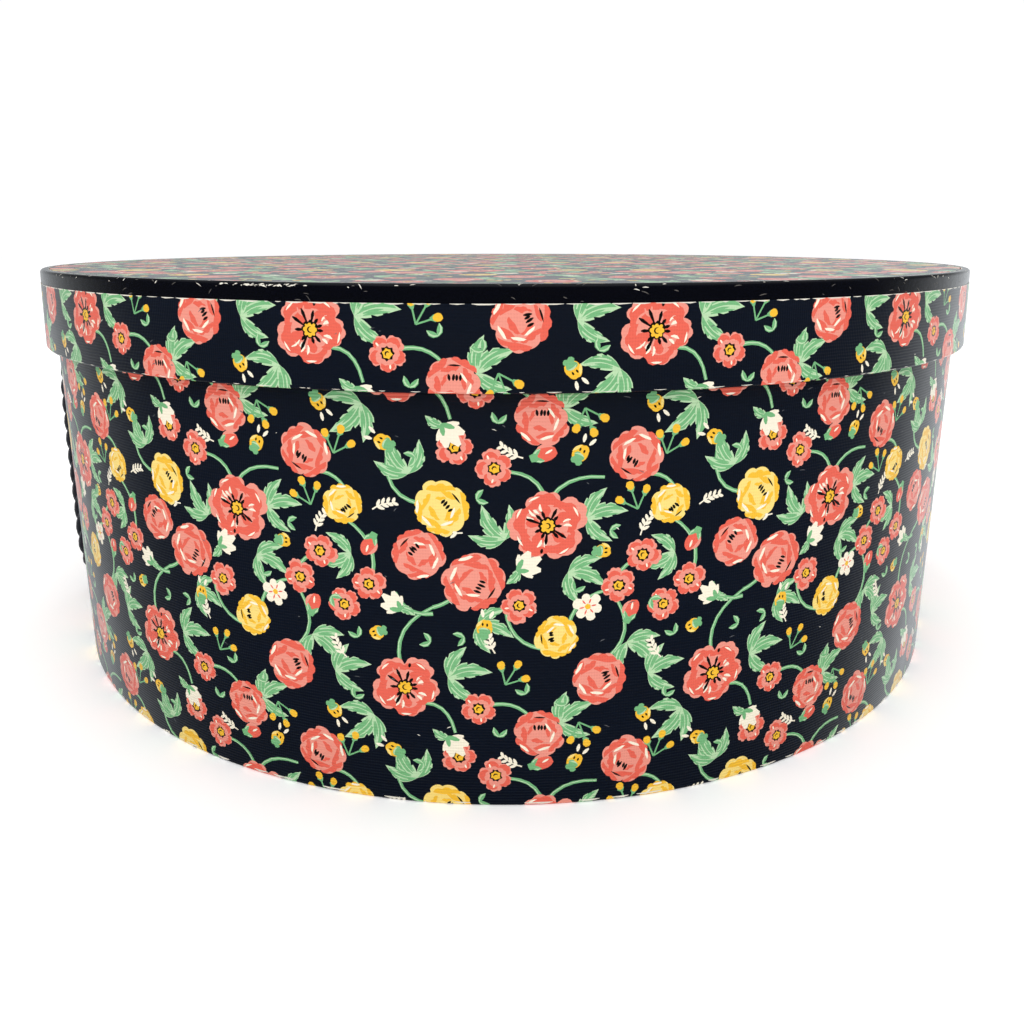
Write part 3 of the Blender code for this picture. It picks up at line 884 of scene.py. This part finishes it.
def make_tape():
    """The glossy tape that binds the lid's edge, nicked and rubbed along its corner. The light line along
    its inner top edge is partly fraying and partly a painted highlight.
    """
    round_off = 1.2 * MM
    outside = LID_RADIUS - 0.12 * MM
    profile = [(outside, TAPE_FOOT - 0.3 * MM)]
    profile += arc((outside - round_off, LID_TOP - round_off), round_off, 0, 90, 8)
    profile.append((LID_RADIUS - 3.2 * MM, LID_TOP))
    wrap = Wrap(profile, LID_RADIUS, 172.0)
    corner_low, corner_high, top = wrap.levels[1], wrap.levels[9], wrap.levels[-1]
    wear_and_highlight = WearAndHighlight(21, wrap.length)
    rng = wear_and_highlight.rng
    wear_and_highlight.flecks("worn", corner_low - 0.4, corner_high, 90, 1.3)
    wear_and_highlight.flecks("scuff", 0.5, top - 0.4, 160, 1.6)
    # Light line along the inner top edge: partly frayed wear, partly a painted highlight.
    wear_and_highlight.frayed_and_highlight("worn", top - 0.01, 0.4, 0.7, 12.0)
    rubbed = wrap.across(-24.0), wrap.across(-14.5)
    for _ in range(48):
        place = (rng.triangular(*rubbed), rng.gauss(corner_low + 0.35, 0.16))
        wear_and_highlight.fleck("worn", place, rng.gauss(0.0, 0.3), rng.uniform(0.3, 1.5), rng.uniform(0.15, 0.4))
    for azimuth, level in ((-34.6, 0.2), (-30.2, -0.1)):
        wear_and_highlight.fleck("worn", (wrap.across(azimuth), corner_low + level), 1.0, 1.1, 0.42)
    sheet = FlatSheet(rectangle(wrap.length, top), wrap.levels[1:-1], extra=wear_and_highlight.marks, grid=(3.5, 3.0))
    piece = sheet.made("edge_tape", wrap, "lid", tape_finish)
    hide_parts("lid_edge_tape")


# The carrying cord: azimuth in degrees from the front, radius and height in millimetres.
CORD_ROUTE = (
    (-87.0, 194.4, 116.5), (-87.0, 199.3, 116.5), (-87.0, 204.8, 116.1), (-87.0, 209.8, 114.1),
    (-87.0, 213.7, 110.2), (-86.9, 215.8, 105.1), (-86.8, 216.2, 99.0), (-86.0, 214.9, 79.0),
    (-84.6, 212.3, 57.0), (-82.8, 209.1, 38.0), (-81.6, 207.2, 24.0), (-81.9, 205.9, 13.4),
    (-83.9, 205.2, 6.4), (-87.6, 204.8, 4.0), (-92.8, 205.0, 3.6), (-102.0, 208.0, 3.6),
    (-114.0, 214.0, 3.7), (-128.0, 220.4, 3.7), (-142.0, 224.4, 3.7), (-156.0, 224.6, 3.7),
    (-170.0, 221.6, 3.7), (-184.0, 218.6, 3.7), (-198.0, 217.0, 3.7), (-212.0, 217.2, 3.7),
    (-226.0, 217.4, 3.7), (-239.0, 216.6, 3.7), (-248.8, 215.3, 4.9), (-256.0, 214.0, 10.8),
    (-261.4, 213.1, 21.0), (-265.0, 212.8, 36.5), (-266.7, 213.3, 57.0), (-267.0, 214.7, 79.0),
    (-267.0, 216.2, 99.0), (-267.0, 215.8, 105.1), (-267.0, 213.7, 110.2), (-267.0, 209.8, 114.1),
    (-267.0, 204.8, 116.1), (-267.0, 199.3, 116.5), (-267.0, 194.4, 116.5),
)
CORD_DIAMETER = 7 * MM
STRANDS = 3
STRAND_SIDES = 10
LAY = 26 * MM                # along the cord for one turn of a strand
STEPS_PER_TURN = 22
KNOT_DIAMETER = 5.6 * MM
KNOT_LAY = 18 * MM
CURVE_STEPS = 12             # between two points of a route

# How the knot runs, in millimetres: across, up and into the box from the end of the cord.
KNOT_ROUTE = (
    (0.0, 0.0, -1.0), (0.0, 0.0, 1.5), (1.5, 1.0, 4.5), (4.4, 0.2, 6.6), (4.0, -3.6, 6.8),
    (0.0, -5.0, 6.0), (-4.2, -3.0, 5.2), (-4.8, 1.2, 5.4), (-2.6, 4.4, 7.0), (1.4, 4.6, 9.0),
    (3.0, 1.6, 10.6), (1.0, -0.6, 12.4), (0.2, -0.8, 15.5),
)


def slope(before, point, after):
    """Direction of the curve at a point, from the parabola through it and its neighbours."""
    behind = (point - before).length
    ahead = (after - point).length
    return ((point - before) * (ahead / behind) + (after - point) * (behind / ahead)) / (ahead + behind)


def smooth_curve(points):
    """Points along a smooth curve through the given points."""
    padded = [2 * points[0] - points[1], *points, 2 * points[-1] - points[-2]]
    slopes = [slope(*trio) for trio in zip(padded, padded[1:], padded[2:])]
    curve = []
    for start, end, leave, arrive in zip(points, points[1:], slopes, slopes[1:]):
        span = (end - start).length
        for n in range(CURVE_STEPS):
            t = n / CURVE_STEPS
            curve.append(start + (end - start) * (3 * t ** 2 - 2 * t ** 3)
                         + leave * (span * t * (1 - t) ** 2) + arrive * (span * t ** 2 * (t - 1)))
    curve.append(points[-1])
    return curve


def evenly(points, step):
    """The same line with points a step apart."""
    line = np.array([tuple(p) for p in points])
    along = np.concatenate([[0.0], np.cumsum(np.linalg.norm(np.diff(line, axis=0), axis=1))])
    count = max(2, round(along[-1] / step) + 1)
    wanted = np.linspace(0.0, along[-1], count)
    return np.stack([np.interp(wanted, along, line[:, n]) for n in range(3)], axis=1), along[-1]


def twisted(name, path, diameter, lay, phase=0.0):
    """A rope of STRANDS strands twisted round a path, each strand a closed tube."""
    strand = diameter / 2 / (1 + 2 / math.sqrt(3))
    offset = diameter / 2 - strand
    sides = STRAND_SIDES
    line, length = evenly(path, lay / STEPS_PER_TURN)
    ahead = np.gradient(line, axis=0)
    ahead /= np.linalg.norm(ahead, axis=1)[:, None]
    side = np.cross(ahead[0], (0.0, 0.0, 1.0))
    if np.linalg.norm(side) < 0.1:
        side = np.cross(ahead[0], (1.0, 0.0, 0.0))
    vertices, faces, flat, frames = [], [], [], []
    for direction in ahead:
        side = side - direction * side.dot(direction)
        side /= np.linalg.norm(side)
        frames.append((side, np.cross(direction, side)))
    step = length / (len(line) - 1)
    for n in range(STRANDS):
        centres = []
        for k, (place, (right, up)) in enumerate(zip(line, frames)):
            turn = phase + math.tau * (n / STRANDS + k * step / lay)
            centres.append(place + offset * (math.cos(turn) * right + math.sin(turn) * up))
        centres = np.array(centres)
        along = np.gradient(centres, axis=0)
        along /= np.linalg.norm(along, axis=1)[:, None]
        first = len(vertices)
        for k, (centre, direction) in enumerate(zip(centres, along)):
            out = centre - line[k]
            out -= direction * out.dot(direction)
            out /= np.linalg.norm(out)
            across = np.cross(direction, out)
            for s in range(sides):
                angle = math.tau * s / sides
                vertices.append(centre + strand * (math.cos(angle) * out + math.sin(angle) * across))
                flat.append((k * step, n * 0.02 + s / sides * 0.01))
        for k in range(len(centres) - 1):
            for s in range(sides):
                a, b = first + k * sides + s, first + k * sides + (s + 1) % sides
                faces.append((a, b, b + sides, a + sides))
        faces.append(tuple(range(first, first + sides))[::-1])
        last = first + (len(centres) - 1) * sides
        faces.append(tuple(range(last, last + sides)))
    mesh = bpy.data.meshes.new(name)
    mesh.from_pydata([tuple(v) for v in vertices], [], faces)
    layer = mesh.uv_layers.new(name="flat")
    corners = np.empty(len(mesh.loops), int)
    mesh.loops.foreach_get("vertex_index", corners)
    layer.uv.foreach_set("vector", np.array(flat)[corners].ravel())
    mesh.shade_smooth()
    mesh.materials.append(bpy.data.materials["cord_twist"])
    piece = bpy.data.objects.new(name, mesh)
    bpy.context.scene.collection.objects.link(piece)
    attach(piece, "box")
    return piece


def outward(azimuth):
    angle = math.radians(azimuth)
    return Vector((math.sin(angle), -math.cos(angle), 0.0))


def make_knot(side, azimuth, end):
    """An overhand knot pulled tight inside the wall, its cut end standing out a little."""
    inward = -outward(azimuth)
    up = Vector((0.0, 0.0, 1.0))
    across = up.cross(inward)
    points = [end + (across * x + up * y + inward * z) * MM for x, y, z in KNOT_ROUTE]
    knot = twisted("knot_" + side, smooth_curve(points), KNOT_DIAMETER, KNOT_LAY, phase=0.8)
    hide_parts("cord_knot_" + side)
    return knot


def make_cord():
    points = [outward(azimuth) * (radius * MM) + Vector((0.0, 0.0, height * MM))
              for azimuth, radius, height in CORD_ROUTE]
    path = smooth_curve(points)
    cord = twisted("carrying_rope", path, CORD_DIAMETER, LAY)
    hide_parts("carrying_cord")
    knots = [make_knot("left", CORD_ROUTE[0][0], points[0]),
             make_knot("right", CORD_ROUTE[-1][0], points[-1])]


# The studio. Each light: name, place, aim, size and power.
LIGHTS = (
    ("key_left", (-1.3, -1.7, 1.9), (0.0, 0.0, 0.08), (1.4, 1.4), 4),
    ("key_right", (1.4, -1.6, 1.8), (0.0, 0.0, 0.08), (1.4, 1.4), 4),
    ("top", (0.0, -0.3, 2.4), (0.0, -0.3, 0.0), (3.0, 3.0), 18),
)
FLOOR_GLOW = 0.14
WHITE = (1.0, 1.0, 1.0, 1.0)
SEEN_COLOUR, SEEN_STRENGTH = (0.98, 0.99, 1.0, 1.0), 1.03
SOFT_STRENGTH = 1.04
MIRRORED_COLOUR, SWEEP_STRENGTH = (0.93, 0.97, 1.0, 1.0), 0.48
CAMERA_PLACE = (0.0027, -0.4295, 0.1697)
CAMERA_DOWNWARD = 10.21      # degrees below level
CAMERA_LENS = 30.2
CAMERA_SHIFT = -0.1178


def make_floor():
    bpy.ops.mesh.primitive_grid_add(x_subdivisions=8, y_subdivisions=8, size=9.0, location=(0.0, 1.5, 0.0))
    floor = bpy.context.object
    floor.name = "floor"
    made = Finish("studio_floor", (0.96, 0.96, 0.965), 0.1)
    made.look({"Roughness": made.mapped(made.noise(made.place(), 30.0, 2.0, 0.5), 0.6, 0.8),
               "Emission Color": WHITE, "Emission Strength": FLOOR_GLOW})
    floor.data.materials.append(made.material)
    floor.visible_glossy = False


def make_world():
    """A white studio whose reflections are a pale sweep behind and a dim room on the other sides."""
    world = bpy.data.worlds.new("studio")
    world.use_nodes = True
    made = Nodes(world.node_tree)
    parts = made.add("ShaderNodeSeparateXYZ", {"Vector": made.place("Generated")}).outputs
    behind = made.mapped(parts["Y"], 0.0, 1.0, -0.05, 0.95, "SMOOTHSTEP")
    rightward = made.mapped(parts["X"], 1.0, 1.8, 0.1, 0.9, "SMOOTHSTEP")
    low_down = made.mapped(parts["Z"], 1.32, 0.1, -0.05, 0.36, "SMOOTHSTEP")
    overhead = made.mapped(parts["Z"], 0.045, 0.38, 0.5, 0.95, "SMOOTHSTEP")
    sweep = made.math("MULTIPLY", made.math("MULTIPLY", behind, rightward), low_down)
    glow = made.math("ADD", made.math("MULTIPLY", sweep, SWEEP_STRENGTH), overhead)
    path = made.add("ShaderNodeLightPath").outputs
    seen, soft, mirrored = (
        made.add("ShaderNodeBackground", {"Color": colour, "Strength": strength}).outputs[0]
        for colour, strength in ((SEEN_COLOUR, SEEN_STRENGTH), (WHITE, SOFT_STRENGTH),
                                 (MIRRORED_COLOUR, glow)))
    lit = made.add("ShaderNodeMixShader", {0: path["Is Glossy Ray"], 1: soft, 2: mirrored}).outputs[0]
    shown = made.add("ShaderNodeMixShader", {0: path["Is Camera Ray"], 1: lit, 2: seen}).outputs[0]
    made.feed(made.tree.nodes["World Output"], {"Surface": shown})
    bpy.context.scene.world = world


def area_light(name, location, target, size, power):
    data = bpy.data.lights.new(name, "AREA")
    data.shape = "RECTANGLE"
    data.size, data.size_y = size
    data.energy = power
    light = bpy.data.objects.new(name, data)
    light.visible_glossy = False
    light.location = location
    light.rotation_euler = (Vector(target) - Vector(location)).to_track_quat("-Z", "Y").to_euler()
    bpy.context.scene.collection.objects.link(light)


def make_camera():
    data = bpy.data.cameras.new("camera")
    data.lens = CAMERA_LENS
    data.sensor_width = 36.0
    data.shift_y = CAMERA_SHIFT
    data.clip_start = 0.01
    camera = bpy.data.objects.new("camera", data)
    camera.location = CAMERA_PLACE
    camera.rotation_euler = Euler((math.radians(90 - CAMERA_DOWNWARD), 0.0, 0.0))
    bpy.context.scene.collection.objects.link(camera)
    bpy.context.scene.camera = camera


def main():
    bpy.context.scene.view_settings.view_transform = "Standard"
    make_camera()
    make_world()
    make_floor()
    for light in LIGHTS:
        area_light(*light)

    shapes = repeated_shapes(artwork().shapes)
    pattern = (shapes, *visible_edges(shapes))
    make_body_paper(pattern)
    make_band_paper(pattern)
    make_top_paper(pattern)
    make_tape()
    cord_material()
    make_cord()

    finish_nodes(plain_paper("lining_paper", (0.80, 0.74, 0.60), (0.70, 0.63, 0.49)),
                 "body_lining_paper", "base_lining_paper", "lid_band_lining", "lid_top_lining")
    finish_nodes(plain_paper("underside_paper", (0.62, 0.55, 0.42), (0.50, 0.43, 0.32)), "base_cover_paper")
    finish_nodes(plain_paper("grey_board", (0.42, 0.37, 0.29), (0.30, 0.26, 0.20), fibre=0.8),
                 "body_wall_board", "base_board", "lid_band_board", "lid_top_board")
    finish_nodes(eyelet_material(), "eyelet_left", "eyelet_right")


main()
